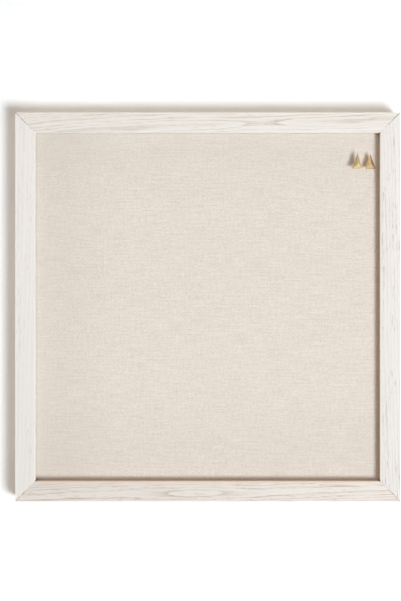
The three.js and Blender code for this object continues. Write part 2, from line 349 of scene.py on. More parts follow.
class Finish:
    """A finish that a shader lays on a piece.

    In the finishes, a coordinate divided by a length gives noise with lumps of about that length,
    in millimetres.
    """

    title: str

    def paint(self, shader: Shader) -> None:
        """Lay the finish with the material's shader."""
        raise NotImplementedError

    def material(self) -> bpy.types.Material:
        """Make the finish.

        Returns:
            The material.
        """
        made = bpy.data.materials.new(self.title)
        self.paint(Shader.on(made))
        return made


class Grain(Enum):
    """The way a length of timber runs."""

    LEVEL = "level"
    UPRIGHT = "upright"


@dataclass(frozen=True)
class WhitewashedOak(Finish):
    """Open-grained oak under a thin white wash, one board to each length of the frame.

    The growth rings circle a heart line near the face. The heart bends along the board, and it dips
    on both sides of one place, the eye, where the lines on the face close into an arch. Lengths are
    in millimetres.
    """

    title: str
    grain: Grain
    middle: float
    face: float
    half_length: float
    seed: float
    wash: Colour
    line: Colour
    contrast: float
    eye: float
    heart: float
    slope: float
    curl: float
    heart_depth: float
    dip: float
    ring: float
    ring_lines: float = 0.8
    dashes: float = 0.5
    joint_dirt: float = 0.75
    # Most of the next fields paint light and shade: shade in the recess corners, shade towards one end
    # where the light falls off, highlights on the arrises and the inner walls' light and shade.
    corner_shade: float = 0.7
    unshaded_end: int = 0
    bleach: float = 0.0
    dulling: float = 0.0
    dulled_end: int = -1
    outer_highlight: float = 0.0
    inner_highlight: float = 0.6
    highlight_band: float = 1.8
    # Colour of the inner wall, which paints its light and shade.
    wall: Colour = srgb(252, 247, 240)
    drift: float = 6.0
    ripple: float = 2.8
    eye_length: float = 45.0
    face_width: float = 24.0
    # Colours of the painted highlights on the outer and inner arrises, of the joints' dirt with the
    # painted corner shade, and of the painted shade towards one end.
    brightened: Colour = srgb(252, 247, 240)
    arris_highlight: Colour = srgb(252, 241, 230)
    dirt_and_shade: Colour = srgb(112, 101, 90)
    dulled: Colour = srgb(202, 195, 187)
    bleached: Colour = srgb(250, 249, 248)
    raw: Colour = srgb(205, 178, 140)
    raw_line: Colour = srgb(158, 124, 86)

    def rings(self, shader: Shader, along: Shade, across: Shade, below_face: Shade) -> Shade:
        """Give the place within its growth ring of each point of the board.

        Args:
            shader: The material's shader.
            along: The place along the board.
            across: The place across its face.
            below_face: The place behind its face.

        Returns:
            The share of a ring's width, from its early wood outwards.
        """
        wave = shader.noise(along / 120, across / 34, self.seed) - 0.5
        wobble = shader.noise(along / 24, across / 6, self.seed + 4.3) - 0.5
        away = along - self.eye
        turn = away / self.half_length
        heart = away * self.slope + turn * turn * turn * self.curl + self.heart
        aside = across - heart + wave * self.drift + wobble * self.ripple
        far = away * away / (away * away + self.eye_length**2)
        below = below_face + self.heart_depth + far * self.dip
        radius = (aside * aside + below * below).root()
        spread = shader.noise(radius / 7, self.seed, 0.0)
        return (radius / self.ring + spread * 1.5).fraction()

    def paint(self, shader: Shader) -> None:
        """Lay the finish.

        Args:
            shader: The material's shader.
        """
        x, y, z = shader.place()
        along, over = (x, z) if self.grain is Grain.LEVEL else (z, x)
        across = over - self.middle
        ring = self.rings(shader, along, across, y - self.face)
        fibre = shader.noise(along / 34, across / 0.9, y / 0.9 + self.seed)
        pore = shader.noise(along / 5.5, across / 0.3, y / 0.3 + self.seed).between(0.53, 0.72)
        cluster = shader.noise(along / 70, across / 6, self.seed + 13.0).between(0.42, 0.66)
        dash = shader.noise(along / 11, across / 1.1, y / 1.1 + self.seed).between(0.54, 0.72) * cluster
        early = (1 - ring) ** 2.6 * ring.between(0.0, 0.09)
        lines = early * fibre.between(0.28, 0.6) * self.ring_lines
        depth = lines + dash * self.dashes + pore * (0.16 + early * 0.4) + (fibre - 0.5) * 0.3
        patch = shader.noise(along / 60, across / 12, self.seed + 9.1).between(0.3, 0.75)
        washed = shader.mix(self.wash, self.line, depth * (0.6 + patch * 0.7) * self.contrast)
        # Darker towards one end of the board: painted shade where the light falls off along it.
        falloff = (along * self.dulled_end).between(-self.half_length, self.half_length)
        falloff_shaded = shader.mix(washed, self.dulled, falloff * self.dulling)
        half_face = self.face_width / 2
        outward = across * math.copysign(1, self.middle)
        paled = shader.mix(falloff_shaded, self.bleached, (0 - outward).between(-4, 8) * self.bleach)
        # The arrises are painted lighter: painted highlight where the edges catch the light.
        outer_arris = outward.between(half_face - 1.8, half_face - 0.7)
        inner_arris = (0 - outward).between(half_face - self.highlight_band, half_face - self.highlight_band / 2)
        # The inner wall gets its own colour: painted light on the walls that face the key light, painted
        # shade on those that face away.
        inner_wall = (0 - outward).between(half_face - 0.3, half_face - 0.05)
        edged = shader.mix(paled, self.brightened, outer_arris * self.outer_highlight)
        arris_highlight = shader.mix(edged, self.arris_highlight, inner_arris * self.inner_highlight)
        walled = shader.mix(arris_highlight, self.wall, inner_wall * 0.75)
        mitre = (along.size() - outward + (half_face - self.half_length)).size()
        settled = shader.noise(along / 5, across / 5, self.seed + 20.0).between(0.35, 0.6)
        joint = (1 - mitre.between(0.2, 0.8)) * settled * outward.between(-12, 6) * self.joint_dirt
        # Darker at the inner ends of the mitres: painted shade in the recess corners, spared at one end.
        # The joint line above is the joints' real dirt.
        innermost = (0 - outward).between(half_face - 1.2, half_face - 0.2)
        inner_end = (1 - mitre.between(0.3, 1.5)) * innermost
        shaded_end = 1 - (along * self.unshaded_end).between(0, 9)
        darkened = shader.mix(walled, self.dirt_and_shade, joint.most(inner_end * shaded_end * self.corner_shade))
        bare = shader.mix(self.raw, self.raw_line, depth)
        back = shader.facing(1).between(0.35, 0.75)
        shader.surface(
            Base_Color=shader.mix(darkened, bare, back * (0.86 + patch * 0.14)),
            Roughness=0.66 + depth * 0.2 + back * 0.1,
            Normal=shader.relief(1 - depth, 0.1 * MM),
            Specular_IOR_Level=0.15,
        )


@dataclass(frozen=True)
class NaturalLinen(Finish):
    """Unbleached linen in plain weave, with thick and thin places along its threads."""

    title: str = "natural_linen"
    pitch: float = 0.62
    pale: Colour = srgb(252, 244, 235)
    deep: Colour = srgb(215, 203, 190)
    gap: Colour = srgb(178, 161, 142)
    fleck: Colour = srgb(158, 138, 116)
    # Colours of the painted shade along the frame and in the recess corners.
    painted_shade: Colour = srgb(203, 194, 184)
    corner_shade: Colour = srgb(128, 114, 100)
    half_width: float = 204.5
    half_height: float = 206.75

    def paint(self, shader: Shader) -> None:
        """Lay the finish.

        Args:
            shader: The material's shader.
        """
        x, _, z = shader.place()
        wander = shader.noise(x / 45, z / 45, 2.0) - 0.5
        stray = shader.noise(x / 7, z / 1.2, 5.0) - 0.5
        weft = z / self.pitch + wander * 5 + stray * 0.5
        warp = x / self.pitch + wander * 4
        crossing = (weft * math.pi).sine() * (warp * math.pi).sine()
        weft_edge = weft.fraction() * 2 - 1
        warp_edge = warp.fraction() * 2 - 1
        weft_height = (1 - weft_edge * weft_edge) * (0.5 + crossing * 0.5)
        warp_height = (1 - warp_edge * warp_edge) * (0.5 - crossing * 0.5)
        height = weft_height.most(warp_height)
        slub = shader.noise(x / 24, z / 2.0, 11.0, 0.0) - 0.5
        short_slub = shader.noise(x / 4, z / 2.0, 17.0, 0.0) - 0.5
        warp_slub = shader.noise(x / 2.0, z / 16, 23.0, 0.0) - 0.5
        grain = shader.noise(x / 1.9, z / 1.9, 43.0, 0.0) - 0.5
        cloud = shader.noise(x / 55, z / 30, 29.0) - 0.5
        streaks = slub * 0.42 + short_slub * 0.4 + warp_slub * 0.25 + grain * 0.5
        tone = 0.36 - streaks + cloud * 0.12
        yarn = shader.mix(self.pale, self.deep, tone)
        hollow = 1 - height.between(0.02, 0.42)
        woven = shader.mix(yarn, self.gap, hollow * 0.3)
        fleck = shader.noise(x / 1.5, z / 0.55, 37.0).between(0.72, 0.8)
        flecked = shader.mix(woven, self.fleck, fleck * 0.4)
        # Painted shade: a dark line along the frame's edges, darker recess corners but for the top left
        # one, a wider dim band by the left and top edges, and falloff towards the left, the bottom and
        # the top.
        side_edge, end_edge = x.size() - self.half_width, z.size() - self.half_height
        high_edge = z - self.half_height
        edge = side_edge.most(0 - z - self.half_height).between(-2.2, -0.4) * 0.24
        lit_edge = (0 - x - self.half_width).most(high_edge).between(-16, 0) * 0.1
        corner = side_edge.between(-3.5, -0.5) * end_edge.between(-3.5, -0.5)
        shaded_corner = corner * (1 - (z - x).between(200, 390))
        left = (0 - x).between(90, 215) * 0.28
        low = (0 - z).between(70, 215) * 0.2
        high = z.between(120, 215) * 0.16
        painted_shade = edge + high_edge.between(-2.2, -0.4) * 0.12 + lit_edge + left + low + high
        darkened = shader.mix(flecked, self.painted_shade, painted_shade)
        shader.surface(
            Base_Color=shader.mix(darkened, self.corner_shade, shaded_corner * 0.6),
            Roughness=0.9 + tone * 0.08,
            Normal=shader.relief(height + slub * 0.5, 0.16 * MM),
            Sheen_Weight=0.08,
            Specular_IOR_Level=0.25,
        )


@dataclass(frozen=True)
class GranulatedCork(Finish):
    """Cork granules pressed into a sheet."""

    title: str = "granulated_cork"
    pale: Colour = srgb(199, 156, 108)
    dark: Colour = srgb(128, 86, 52)

    def paint(self, shader: Shader) -> None:
        """Lay the finish.

        Args:
            shader: The material's shader.
        """
        point = shader.node("ShaderNodeTexCoord", output="Object") * (1 / MM)
        grains = {"Vector": point, "Scale": 0.55}
        tint = shader.node("ShaderNodeTexVoronoi", sockets=grains, output="Color")
        edge = shader.node("ShaderNodeTexVoronoi", {"feature": "DISTANCE_TO_EDGE"}, grains)
        share = shader.node("ShaderNodeSeparateXYZ", sockets={0: tint})
        seam = 1 - edge.between(0.0, 0.09)
        shader.surface(
            Base_Color=shader.mix(shader.mix(self.pale, self.dark, share * 0.7), self.dark, seam * 0.8),
            Roughness=0.88 + seam * 0.1,
            Normal=shader.relief(1 - seam, 0.2 * MM),
        )


@dataclass(frozen=True)
class Hardboard(Finish):
    """Pressed wood fibre with the print of the press's screen on its back."""

    title: str = "hardboard"
    pale: Colour = srgb(150, 110, 76)
    dark: Colour = srgb(101, 68, 43)
    screen: float = 1.3

    def paint(self, shader: Shader) -> None:
        """Lay the finish.

        Args:
            shader: The material's shader.
        """
        x, y, z = shader.place()
        felt = shader.noise(x / 2.2, z / 2.2, y / 2.2, 5.0)
        hair = shader.noise(x / 0.35 + felt * 6, z / 3.1 - felt * 5, y / 0.4)
        cloud = shader.noise(x / 48, z / 48, 3.0)
        print_x = (x * (2 * math.pi / self.screen)).sine()
        print_z = (z * (2 * math.pi / self.screen)).sine()
        mesh = print_x * print_z * 0.5 + 0.5
        shade = felt * 0.55 + hair * 0.3 + cloud * 0.3 - mesh * 0.14
        shader.surface(
            Base_Color=shader.mix(self.pale, self.dark, shade.between(0.15, 0.95)),
            Roughness=0.62 + felt * 0.25,
            Normal=shader.relief(mesh * 0.75 + hair * 0.3, 0.14 * MM),
        )


# Facets that face one way along X are painted with the clean colour as painted light, and facets that
# face the other way get painted shade.
LIT_FACET_FACING = (0.2, 0.4)
LIT_FACET_CLEAN = 0.75
SHADED_FACET_DARKENING = 0.4


class Plate(Finish, Enum):
    """A metal finish: its clean colour, a darker colour for tarnishing and painted shade, its
    roughness, the way its marks run, and which facets are painted bright.

    The last pair gives the way along X that its brightened facets face, painted with the clean
    colour as painted light, and how much rougher they are. The facets that face the other way
    get painted shade on top of their tarnishing.
    """

    ZINC = (
        "zinc_steel", srgb(196, 198, 197), srgb(150, 151, 148), 0.34,
        (0.8, 0.8, 0.12), (0, 0.0),
    )
    BRIGHT = (
        "bright_steel", srgb(214, 214, 211), srgb(176, 176, 173), 0.2,
        (0.06, 1.5, 0.06), (0, 0.0),
    )
    PALE_BRASS = (
        "pale_brass", srgb(243, 228, 184), srgb(206, 181, 122), 0.15,
        (0.09, 0.5, 2.4), (1, 0.1),
    )
    DEEP_BRASS = (
        "deep_brass", srgb(236, 209, 166), srgb(192, 160, 116), 0.12,
        (0.09, 0.5, 2.4), (-1, 0.4),
    )

    @property
    def title(self) -> str:
        """The material's name."""
        return self.value[0]

    def paint(self, shader: Shader) -> None:
        """Lay the finish.

        Args:
            shader: The material's shader.
        """
        _, clean, tarnish_and_shade, rough, marks, (way, scuff) = self.value
        x, y, z = shader.place()
        scratch = shader.noise(x / marks[0], y / marks[1], z / marks[2], 3.0)
        stain = shader.noise(x / 2.6, y / 2.6, z / 2.6, 3.0).between(0.42, 0.78)
        # Painted light and shade by facet: the facets facing the given way get the clean colour, the
        # others a darker one.
        brightened = (shader.facing(0) * way).between(*LIT_FACET_FACING)
        shaded_side = (shader.facing(0) * -way).between(*LIT_FACET_FACING)
        dull = stain * 0.5 + scratch.between(0.5, 0.8) * 0.4
        tarnish_and_shade_share = dull * (1 - brightened * LIT_FACET_CLEAN) + shaded_side * SHADED_FACET_DARKENING
        shader.surface(
            Base_Color=shader.mix(clean, tarnish_and_shade, tarnish_and_shade_share),
            Metallic=1.0,
            Roughness=rough + stain * 0.1 + scratch * 0.1 + brightened * scuff,
            Normal=shader.relief(scratch, 0.012 * MM),
        )


@dataclass(frozen=True)
class Rubber(Finish):
    """Dark moulded rubber with a little dust on it."""

    title: str = "bumper_rubber"
    dark: Colour = srgb(50, 49, 48)
    dulled: Colour = srgb(88, 85, 81)

    def paint(self, shader: Shader) -> None:
        """Lay the finish.

        Args:
            shader: The material's shader.
        """
        x, y, z = shader.place()
        dulling = shader.noise(x / 1.8, y / 1.8, z / 1.8, 4.0).between(0.4, 0.8)
        grain = shader.noise(x / 0.18, y / 0.18, z / 0.18)
        shader.surface(
            Base_Color=shader.mix(self.dark, self.dulled, dulling * 0.6 + grain * 0.15),
            Roughness=0.68 + dulling * 0.25,
            Normal=shader.relief(grain, 0.03 * MM),
        )


def add_object(name: str, data: bpy.types.ID) -> bpy.types.Object:
    """Put a mesh, a lamp or a camera into the scene.

    Args:
        name: The object's name.
        data: What it shows.

    Returns:
        The new object.
    """
    made = bpy.data.objects.new(name, data)
    bpy.context.scene.collection.objects.link(made)
    return made


@dataclass(frozen=True)
class Seat:
    """Where a piece belongs: the body it rides, a slot name and its finish."""

    body: str
    slot: str
    finish: bpy.types.Material


class Form:
    """A mesh in the making."""

    WELD = 0.001 * MM

    def __init__(self) -> None:
        """Start with nothing."""
        self.mesh = bmesh.new()

    @classmethod
    def eased(cls, node: str, ease: float) -> "Form":
        """Copy a CAD node with its sharp edges taken off.

        Args:
            node: The node's name.
            ease: The width of the eased edges.

        Returns:
            The new form.
        """
        form = cls()
        form.mesh.from_mesh(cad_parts[node].data)
        mesh = form.mesh
        bmesh.ops.remove_doubles(mesh, verts=mesh.verts, dist=cls.WELD)
        flat = math.radians(0.5)
        bmesh.ops.dissolve_limit(mesh, angle_limit=flat, verts=mesh.verts, edges=mesh.edges)
        sharp = [e for e in mesh.edges if e.is_manifold and e.calc_face_angle() > math.radians(40)]
        bmesh.ops.bevel(
            mesh, geom=sharp, offset=ease, segments=2, profile=0.5, affect="EDGES", clamp_overlap=True
        )
        return form

    def loft(self, rings: Sequence[Sequence[Vector]], round_it: bool = True) -> None:
        """Skin a row of rings, and close the ends where the rings go round.

        Args:
            rings: Rings of points, each with as many.
            round_it: Whether each ring closes on itself.
        """
        rows = [[self.mesh.verts.new(point) for point in ring] for ring in rings]
        count = len(rows[0])
        for row, above in zip(rows, rows[1:]):
            for i in range(count if round_it else count - 1):
                j = (i + 1) % count
                self.mesh.faces.new((row[i], row[j], above[j], above[i]))
        if round_it:
            self.mesh.faces.new(rows[0])
            self.mesh.faces.new(rows[-1])

    def sweep(
        self,
        path: Sequence[Vector],
        section: Sequence[Spot],
        side: Vector,
        widths: Sequence[float] | None = None,
    ) -> None:
        """Carry a section along a flat path.

        Args:
            path: The path's points.
            section: The section's points, first along the side direction, then across it.
            side: The direction square to the path's plane.
            widths: A factor on the section's first coordinate at each point, if it changes.
        """
        rings = []
        for i, point in enumerate(path):
            ahead = (path[min(i + 1, len(path) - 1)] - path[max(i - 1, 0)]).normalized()
            across = ahead.cross(side)
            wide = widths[i] if widths else 1.0
            rings.append([point + side * (u * wide) + across * v for u, v in section])
        self.loft(rings)

    def turn(self, profile: Sequence[Spot], sides: int, foot: Vector) -> None:
        """Turn a profile about an axis along Y.

        Args:
            profile: Radius and height along +Y of each point.
            sides: How many sides the round has.
            foot: The axis's foot.
        """
        steps = [2 * math.pi * i / sides for i in range(sides)]
        rings = [
            [foot + Vector((math.cos(a) * radius, height, math.sin(a) * radius)) for a in steps]
            for radius, height in profile
        ]
        self.loft(rings)

    def piece(
        self, name: str, seat: Seat, nodes: Sequence[str] = (), sharp: float = 35.0
    ) -> bpy.types.Object:
        """Finish the mesh as a piece of the board.

        Args:
            name: The piece's name.
            seat: Where it belongs.
            nodes: The CAD nodes that it stands for.
            sharp: The angle in degrees from which an edge stays crisp.

        Returns:
            The new object.
        """
        bmesh.ops.remove_doubles(self.mesh, verts=self.mesh.verts, dist=self.WELD)
        bmesh.ops.dissolve_degenerate(self.mesh, edges=self.mesh.edges, dist=self.WELD)
        bmesh.ops.recalc_face_normals(self.mesh, faces=self.mesh.faces)
        data = bpy.data.meshes.new(name)
        self.mesh.to_mesh(data)
        self.mesh.free()
        data.shade_smooth()
        data.set_sharp_from_angle(angle=math.radians(sharp))
        data.materials.clear()
        data.materials.append(seat.finish)
        item = add_object(name, data)
        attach(item, seat.body)
        if nodes:
            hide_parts(*nodes)
        LOG.info("%s rides %s", name, seat.body)
        return item


def round_section(width: float, height: float, corner: float, steps: int = 3) -> list[Spot]:
    """Draw a rectangle with round corners about the origin.

    Args:
        width: Its width.
        height: Its height.
        corner: The radius of its corners.
        steps: How many steps each corner takes.

    Returns:
        Its points, once round.
    """
    points = []
    for quarter, (right, up) in enumerate([(1, 1), (-1, 1), (-1, -1), (1, -1)]):
        for step in range(steps + 1):
            angle = (quarter + step / steps) * math.pi / 2
            u = right * (width / 2 - corner) + corner * math.cos(angle)
            v = up * (height / 2 - corner) + corner * math.sin(angle)
            points.append((u, v))
    return points


def arc(
    middle: Vector, first: Vector, second: Vector, start: float, end: float, steps: int
) -> list[Vector]:
    """Follow part of a circle.

    Args:
        middle: The circle's middle.
        first: The arm at angle 0.
        second: The arm at a quarter turn.
        start: The first angle, in degrees.
        end: The last angle, in degrees.
        steps: How many steps it takes.

    Returns:
        The points on it, both ends included.
    """
    angles = [math.radians(start + (end - start) * i / steps) for i in range(steps + 1)]
    return [middle + first * math.cos(a) + second * math.sin(a) for a in angles]


def bend(start: Vector, leave: Vector, end: Vector, arrive: Vector, steps: int) -> list[Vector]:
    """Join two points by a smooth bend.

    Args:
        start: The first point.
        leave: The direction and pull on leaving it.
        end: The last point.
        arrive: The direction and pull on reaching it.
        steps: How many steps it takes.

    Returns:
        The points between the two ends.
    """
    points = []
    for i in range(1, steps):
        t = i / steps
        near = start * (1 + 2 * t) * (1 - t) ** 2 + leave * t * (1 - t) ** 2
        far = end * (3 - 2 * t) * t * t + arrive * (t - 1) * t * t
        points.append(near + far)
    return points


@dataclass
class OakFrame:
    """Four mitred lengths of oak and the V-nails across the backs of their joints."""

    ease: float = 0.12 * MM
    mitre_close: float = 0.2 * MM
    nail_ease: float = 0.05 * MM
    timbers: dict[Side, str] = field(
        default_factory=lambda: {
            Side.TOP: "top_rail",
            Side.RIGHT: "right_stile",
            Side.BOTTOM: "bottom_rail",
            Side.LEFT: "left_stile",
        }
    )

    def finish(self, side: Side) -> bpy.types.Material:
        """Make the oak of one timber.

        Args:
            side: The timber's side of the board.

        Returns:
            Its material.
        """
        box = Box.of(f"frame_{self.timbers[side]}")
        common = {
            "middle": side.split(box.middle)[1] / MM,
            "half_length": side.split(box.size)[0] / 2 / MM,
            "face": box.low.y / MM,
        }
        warm_line = srgb(190, 175, 158)
        cool_line = srgb(196, 190, 181)
        # Inner wall colours: painted shade on the bottom rail's and the right stile's walls, which face
        # away from the key light, and painted light on the top rail's and the left stile's.
        shaded_wall = srgb(226, 209, 192)
        match side:
            case Side.TOP:
                oak = WhitewashedOak(
                    "oak_top", Grain.LEVEL, seed=3.1, wash=srgb(244, 238, 230), line=warm_line,
                    contrast=0.95, eye=64, heart=-1, slope=0.025, curl=4.3, heart_depth=7.6,
                    dip=-3.2, ring=3.2, joint_dirt=0.95, dulling=0.12, dulled_end=1, outer_highlight=0.8,
                    inner_highlight=1.0, highlight_band=1.0, unshaded_end=-1, bleach=0.2,
                    wall=srgb(255, 253, 250), **common,
                )
            case Side.BOTTOM:
                oak = WhitewashedOak(
                    "oak_bottom", Grain.LEVEL, seed=8.6, wash=srgb(240, 234, 227), line=warm_line,
                    contrast=1.15, eye=-15, heart=-2, slope=0.02, curl=2, heart_depth=9, dip=2.4,
                    ring=1.9, joint_dirt=0.45, dulling=0.07, inner_highlight=0.75, highlight_band=2.8,
                    arris_highlight=srgb(240, 222, 204), wall=shaded_wall, **common,
                )
            case Side.LEFT:
                oak = WhitewashedOak(
                    "oak_left", Grain.UPRIGHT, seed=14.2, wash=srgb(241, 237, 232), line=cool_line,
                    contrast=0.62, eye=-40, heart=40, slope=0.02, curl=2, heart_depth=30, dip=0.0,
                    ring=4.5, ring_lines=0.35, dashes=1.0, dulling=0.26, outer_highlight=0.8,
                    wall=srgb(245, 244, 241), unshaded_end=1, **common,
                )
            case Side.RIGHT:
                oak = WhitewashedOak(
                    "oak_right", Grain.UPRIGHT, seed=21.7, wash=srgb(252, 249, 245), line=warm_line,
                    contrast=0.8, eye=60, heart=-45, slope=-0.02, curl=-2, heart_depth=26, dip=0.0,
                    ring=3.6, ring_lines=0.45, dashes=1.0, dulling=0.17, inner_highlight=0.9, highlight_band=2.6,
                    arris_highlight=srgb(253, 245, 234), wall=shaded_wall, **common,
                )
        return oak.material()

    def close_mitres(self, form: Form, side: Side) -> None:
        """Push a timber's ends out until its glued joints are hairlines.

        Args:
            form: The timber's mesh.
            side: Its side of the board.
        """
        run = side.run
        reach = max(vertex.co.dot(run) for vertex in form.mesh.verts)
        for vertex in form.mesh.verts:
            along = vertex.co.dot(run)
            vertex.co += run * (self.mitre_close * along / reach)

    def build(self, steel: bpy.types.Material) -> None:
        """Make the timbers and the nails.

        Args:
            steel: The finish of the nails.
        """
        for side, timber in self.timbers.items():
            seat = Seat("board", "whitewashed_oak", self.finish(side))
            node = f"frame_{timber}"
            form = Form.eased(node, self.ease)
            self.close_mitres(form, side)
            form.piece(f"oak_{timber}", seat, [node])
        seat = Seat("board", "zinc_steel", steel)
        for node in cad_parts:
            if node.startswith("v_nail_"):
                name = node.replace("v_nail", "mitre_nail")
                Form.eased(node, self.nail_ease).piece(name, seat, [node])


@dataclass
class LinenPanel:
    """Linen drawn over cork and hardboard, stapled behind and held in by framer's points."""

    hem: float = 28 * MM
    cloth: float = 0.42 * MM
    fold: float = 0.9 * MM
    pitch: float = 6 * MM
    lap: float = 0.45 * MM
    lap_reach: float = 14 * MM
    tuck: float = 4 * MM
    pillow: float = 0.3 * MM
    dimple: float = 0.35 * MM
    dimple_radius: float = 1.1 * MM
    frays: int = 90
    thread: tuple[float, float, float] = (0.2 * MM, 0.14 * MM, 0.06 * MM)
    thread_lengths: Spot = (0.9, 3.0)
    wire: float = 0.6 * MM
    wire_bend: float = 0.5 * MM
    wire_corner: float = 0.18 * MM
    curl: float = 0.5 * MM
    curl_reach: float = 3 * MM
    board_ease: float = 0.2 * MM
    press: Spot = (11 * MM, 9 * MM)
    press_start: float = 4 * MM
    tuck_start: float = 6 * MM
    lap_start: float = 3 * MM
    ragged: float = 0.5 * MM
    point_corner: float = 1.2 * MM
    point_edge: float = 0.09 * MM
    point_blunt: float = 0.1 * MM
    seed: int = 7
    box: Box = field(init=False)
    half: dict[bool, float] = field(init=False)
    pins: list[Vector] = field(init=False)

    def __post_init__(self) -> None:
        """Read the cloth's box and where the needles go through it."""
        self.box = Box.of("linen_cover")
        self.half = {True: self.box.size.x / 2, False: self.box.size.z / 2}
        self.pins = [Box.of(f"pin_needle_{hand}").middle for hand in ("left", "right")]

    def stations(self, flat: bool) -> list[float]:
        """Give the places of the cloth's grid lines along X or Z.

        Args:
            flat: Whether they lie along X.

        Returns:
            The places, in order, from one front edge to the other.
        """
        reach = self.half[flat] - self.fold
        count = round(2 * reach / self.pitch)
        even = [-reach + 2 * reach * i / count for i in range(count + 1)]
        close = [step * self.dimple_radius for step in (-3, -1.6, -0.9, -0.4, 0, 0.4, 0.9, 1.6, 3)]
        axes = {round(pin.x if flat else pin.z, 6) for pin in self.pins}
        fine = [axis + step for axis in axes for step in close]
        clear = min(abs(a - b) for a in close for b in close if a != b)
        kept = [place for place in even if all(abs(place - other) > clear for other in fine)]
        return sorted(kept + fine)

    def front_depth(self, x: float, z: float) -> float:
        """Give the cloth's depth at a point of the face, drawn in a little at each needle.

        Args:
            x: The point's place along X.
            z: The point's place along Z.

        Returns:
            The place along Y.
        """
        near = [(Vector((x, z)) - Vector((pin.x, pin.z))).length for pin in self.pins]
        pull = sum(math.exp(-((d / self.dimple_radius) ** 2)) for d in near)
        return self.box.low.y + self.dimple * pull

    def pressed(self, side: Side, along: float, inset: float) -> float:
        """Say how free the hem is to stand up, from 0 under a staple or point to 1 between them.

        Args:
            side: The hem's side of the board.
            along: The place along that side.
            inset: How far in from the panel's edge it lies.

        Returns:
            The share of its free height.
        """
        free = smooth(inset / self.press_start)
        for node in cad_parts:
            if node.startswith((f"hem_staple_{side.word}", f"framers_point_{side.word}")):
                place, out = side.split(Box.of(node).middle)
                beside = (along - place) / self.press[0]
                within = (self.half[not side.lies_flat] - abs(out) - inset) / self.press[1]
                free *= 1 - math.exp(-(beside**2) - within**2)
        return free

    def strip(self, side: Side, places: Sequence[float]) -> list[list[Vector]]:
        """Lay the cloth of one side round the panel's edge and onto its back.

        Args:
            side: The side of the board.
            places: Where its grid lines leave the front.

        Returns:
            Rows of points from the front edge to the hem's raw edge.
        """
        half, out = self.half[side.lies_flat], self.half[not side.lies_flat]
        front, back = self.box.low.y, self.box.high.y
        turns = [math.radians(22.5 * i) for i in range(5)]
        rows = [(self.fold * (1 - math.sin(a)), front + self.fold * (1 - math.cos(a))) for a in turns]
        rows += [(self.fold * (1 - math.cos(a)), back - self.fold * (1 - math.sin(a))) for a in turns]
        inner = [i * self.hem / 9 for i in range(1, 10)]
        over = side in (Side.TOP, Side.BOTTOM)
        strip = []
        for inset, depth in rows + [(inset, back) for inset in inner]:
            hem = depth == back and inset >= self.fold
            spare = 0.0 if over or not hem else self.tuck * smooth(inset / self.tuck_start)
            line = []
            for place in places:
                along = place / (half - self.fold) * (half - inset + spare)
                stand = 0.0
                if hem:
                    corner = half - inset - abs(along)
                    stand = self.pillow * self.pressed(side, along, inset)
                    if over:
                        away = smooth(corner / self.lap_reach)
                        lift = self.lap * (1 - away) * smooth(inset / self.lap_start)
                        stand = max(stand * away, lift)
                    else:
                        stand *= smooth(corner / self.lap_reach)
                ragged = self.ragged * noise.noise(Vector((along * 180, out * 9, 1.0)))
                edge = inset + ragged if inset == inner[-1] else inset
                line.append(side.place(along, depth + stand, out - edge))
            strip.append(line)
        return strip

    def build_linen(self, finish: bpy.types.Material) -> None:
        """Make the cloth and the loose threads of its raw edge.

        Args:
            finish: The linen.
        """
        form = Form()
        along_x, along_z = self.stations(True), self.stations(False)
        form.loft([[Vector((x, self.front_depth(x, z), z)) for x in along_x] for z in along_z], False)
        for side in Side:
            form.loft(self.strip(side, along_x if side.lies_flat else along_z), False)
        seat = Seat("board", "linen", finish)
        cloth = form.piece("linen_sheet", seat, ["linen_cover"], sharp=60)
        if cloth.data.polygons[0].normal.y > 0:
            cloth.data.flip_normals()
        thick = cloth.modifiers.new("cloth", "SOLIDIFY")
        thick.thickness = self.cloth
        thick.offset = -1.0
        fray = self.fray(seat)
        wrap = self.box.size.y + self.hem

    def fray(self, seat: Seat) -> bpy.types.Object:
        """Scatter short loose threads along the hem's raw edge.

        Args:
            seat: The linen's seat.

        Returns:
            The threads, as one piece.
        """
        draw = random.Random(self.seed)
        form = Form()
        thread = round_section(*self.thread, 1)
        for side in Side:
            reach = self.half[side.lies_flat] - self.hem - 2 * MM
            edge = self.half[not side.lies_flat] - self.hem + self.ragged
            for _ in range(self.frays):
                start = draw.uniform(-reach, reach)
                length = draw.uniform(*self.thread_lengths) * MM
                lean, hook = draw.uniform(-0.5, 0.5), draw.uniform(-0.5, 0.5)
                depth = self.box.high.y - draw.uniform(0.2, 0.4) * MM
                path = []
                for i in range(5):
                    t = i / 4
                    along = start + length * (lean * t + hook * t * t)
                    path.append(side.place(along, depth, edge - length * t))
                form.sweep(path, thread, BACK, [1, 1, 1, 0.8, 0.4])
        return form.piece("linen_fray", seat)

    def build_board(self, cork: bpy.types.Material, hardboard: bpy.types.Material) -> None:
        """Dress the cork and ease the hardboard's edges.

        Args:
            cork: The finish of the cork.
            hardboard: The finish of the hardboard.
        """
        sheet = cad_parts["cork_sheet"]
        sheet.data.materials.clear()
        sheet.data.materials.append(cork)
        LOG.info("cork_sheet keeps its shape")
        seat = Seat("board", "hardboard", hardboard)
        Form.eased("hardboard_back", self.board_ease).piece("hardboard_sheet", seat, ["hardboard_back"])

    def build_fasteners(self, steel: bpy.types.Material) -> None:
        """Make the staples and the framer's points.

        Args:
            steel: Their finish.
        """
        seat = Seat("board", "zinc_steel", steel)
        for side in Side:
            for node in sorted(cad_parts):
                if node.startswith(f"hem_staple_{side.word}"):
                    self.staple(side, node, seat)
                elif node.startswith(f"framers_point_{side.word}"):
                    self.point(side, node, seat)

